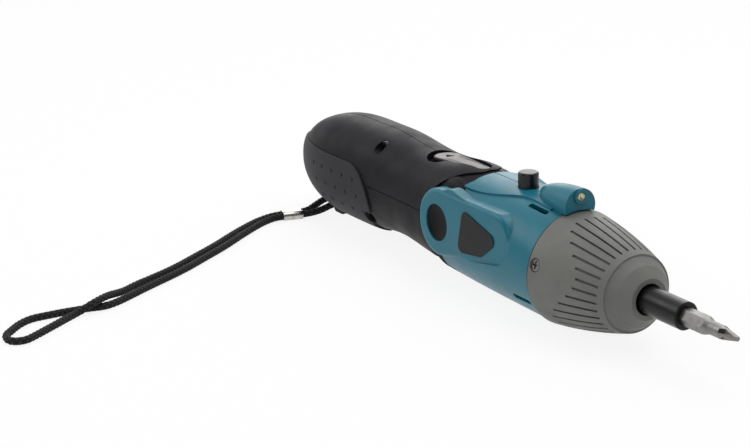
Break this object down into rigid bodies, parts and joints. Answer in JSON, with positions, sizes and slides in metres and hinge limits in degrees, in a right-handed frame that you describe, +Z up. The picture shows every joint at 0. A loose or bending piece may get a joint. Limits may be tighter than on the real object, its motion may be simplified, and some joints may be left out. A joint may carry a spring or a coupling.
{
  "type": "electric screwdriver",
  "caption": "Cordless in-line screwdriver with a swivelling soft-grip handle, rocker switch, work lamp, hex bit sleeve and wrist strap.",
  "frame": {"origin": "on the surface the tool lies on, under the middle of its length without the strap", "axes": "+X along the spindle towards the bit, +Z up on the side of the lamp and the switch"},
  "size_m": [0.2963, 0.2213, 0.0555],
  "materials": {
    "handle_plastic": "fine satin texture",
    "soft_rubber": "soft matt with small dimples",
    "housing_plastic": "satin",
    "case_plastic": "satin",
    "rocker_plastic": "satin",
    "button_plastic": "gloss",
    "label_plastic": "satin, blank",
    "inner_plastic": "plain moulded",
    "gear_plastic": "plain moulded",
    "film": "shrink film",
    "cell": "bare can",
    "cord": "plaited cord",
    "nickel": "bright plated",
    "screw_steel": "blackened",
    "washer_steel": "plain",
    "motor_steel": "plated",
    "gear_steel": "sintered",
    "black_steel": "blackened satin",
    "bit_steel": "satin",
    "brass": "plain",
    "magnet": "plain",
    "lens": "clear"
  },
  "bodies": {
    "tool_body": {"housing_right": "housing_plastic", "housing_left": "housing_plastic", "housing_screws": "screw_steel", "gear_case": "case_plastic", "gear_case_screws": "screw_steel", "label_plate": "label_plastic", "lamp_lens": "lens", "lamp_board": "inner_plastic", "lamp_switch": "inner_plastic", "motor_can": "motor_steel", "motor_end_cap": "inner_plastic", "motor_magnets": "magnet", "gear_plate": "washer_steel", "ring_gear": "gear_plastic", "thrust_washer": "washer_steel", "spindle_bush": "brass", "pivot_washers": "washer_steel"},
    "handle": {"grip_shell_right": "handle_plastic", "grip_shell_left": "handle_plastic", "soft_grip_right": "soft_rubber", "soft_grip_left": "soft_rubber", "handle_screws": "screw_steel", "switch_unit": "inner_plastic", "battery_cells": "cell", "battery_sleeve": "film", "cell_links": "nickel", "charging_socket": "inner_plastic", "strap_eyelet": "handle_plastic", "strap_tie": "cord", "strap_ferrule": "nickel", "strap_loop": "cord"},
    "rocker": {"rocker_switch": "rocker_plastic"},
    "lamp_button": {"lamp_button": "button_plastic"},
    "rotor": {"armature_core": "motor_steel", "commutator": "brass", "motor_shaft": "motor_steel", "motor_pinion": "brass"},
    "first_carrier": {"first_carrier": "gear_steel", "first_planet_pins": "gear_steel"},
    "spindle": {"spindle": "black_steel", "second_carrier": "gear_steel", "second_planet_pins": "gear_steel", "retaining_ring": "washer_steel", "bit_magnet": "magnet"},
    "bit": {"screwdriver_bit": "bit_steel"},
    "first_planet_1": {"first_planet_1": "gear_plastic"},
    "second_planet_1": {"second_planet_1": "gear_steel"},
    "first_planet_2": {"first_planet_2": "gear_plastic"},
    "second_planet_2": {"second_planet_2": "gear_steel"},
    "first_planet_3": {"first_planet_3": "gear_plastic"},
    "second_planet_3": {"second_planet_3": "gear_steel"}
  },
  "joints": [
    {"name": "handle_swivel", "type": "hinge", "parent": "tool_body", "child": "handle", "pos_m": [-0.01575, 0, 0.0275], "axis": [0, -1, 0], "range_deg": [0, 35]},
    {"name": "rocker_tilt", "type": "hinge", "parent": "handle", "child": "rocker", "pos_m": [-0.02775, 0, 0.0455], "axis": [0, 1, 0], "range_deg": [-4, 4], "stiffness_Nm_per_rad": 0.5},
    {"name": "lamp_button_press", "type": "slide", "parent": "tool_body", "child": "lamp_button", "axis": [0, 0, -1], "range_m": [0, 0.0015], "stiffness_N_per_m": 900},
    {"name": "motor_spin", "type": "hinge", "parent": "tool_body", "child": "rotor", "pos_m": [0, 0, 0.0229], "axis": [1, 0, 0], "continuous": true},
    {"name": "first_carrier_spin", "type": "hinge", "parent": "tool_body", "child": "first_carrier", "pos_m": [0, 0, 0.0229], "axis": [1, 0, 0], "continuous": true},
    {"name": "spindle_spin", "type": "hinge", "parent": "tool_body", "child": "spindle", "pos_m": [0, 0, 0.0229], "axis": [1, 0, 0], "continuous": true},
    {"name": "bit_draw", "type": "slide", "parent": "spindle", "child": "bit", "axis": [1, 0, 0], "range_m": [0, 0.03]},
    {"name": "first_planet_1_spin", "type": "hinge", "parent": "first_carrier", "child": "first_planet_1", "pos_m": [0.0515, 0, 0.03115], "axis": [1, 0, 0], "continuous": true},
    {"name": "second_planet_1_spin", "type": "hinge", "parent": "spindle", "child": "second_planet_1", "pos_m": [0.0515, 0, 0.03115], "axis": [1, 0, 0], "continuous": true},
    {"name": "first_planet_2_spin", "type": "hinge", "parent": "first_carrier", "child": "first_planet_2", "pos_m": [0.0515, -0.00715, 0.01878], "axis": [1, 0, 0], "continuous": true},
    {"name": "second_planet_2_spin", "type": "hinge", "parent": "spindle", "child": "second_planet_2", "pos_m": [0.0515, -0.00715, 0.01878], "axis": [1, 0, 0], "continuous": true},
    {"name": "first_planet_3_spin", "type": "hinge", "parent": "first_carrier", "child": "first_planet_3", "pos_m": [0.0515, 0.00715, 0.01878], "axis": [1, 0, 0], "continuous": true},
    {"name": "second_planet_3_spin", "type": "hinge", "parent": "spindle", "child": "second_planet_3", "pos_m": [0.0515, 0.00715, 0.01878], "axis": [1, 0, 0], "continuous": true}
  ],
  "couplings": [
    {"joint": "first_carrier_spin", "follows": "motor_spin", "ratio": 0.13636},
    {"joint": "spindle_spin", "follows": "motor_spin", "ratio": 0.018595},
    {"joint": "first_planet_1_spin", "follows": "motor_spin", "ratio": -0.32386},
    {"joint": "second_planet_1_spin", "follows": "motor_spin", "ratio": -0.044163},
    {"joint": "first_planet_2_spin", "follows": "motor_spin", "ratio": -0.32386},
    {"joint": "second_planet_2_spin", "follows": "motor_spin", "ratio": -0.044163},
    {"joint": "first_planet_3_spin", "follows": "motor_spin", "ratio": -0.32386},
    {"joint": "second_planet_3_spin", "follows": "motor_spin", "ratio": -0.044163}
  ]
}
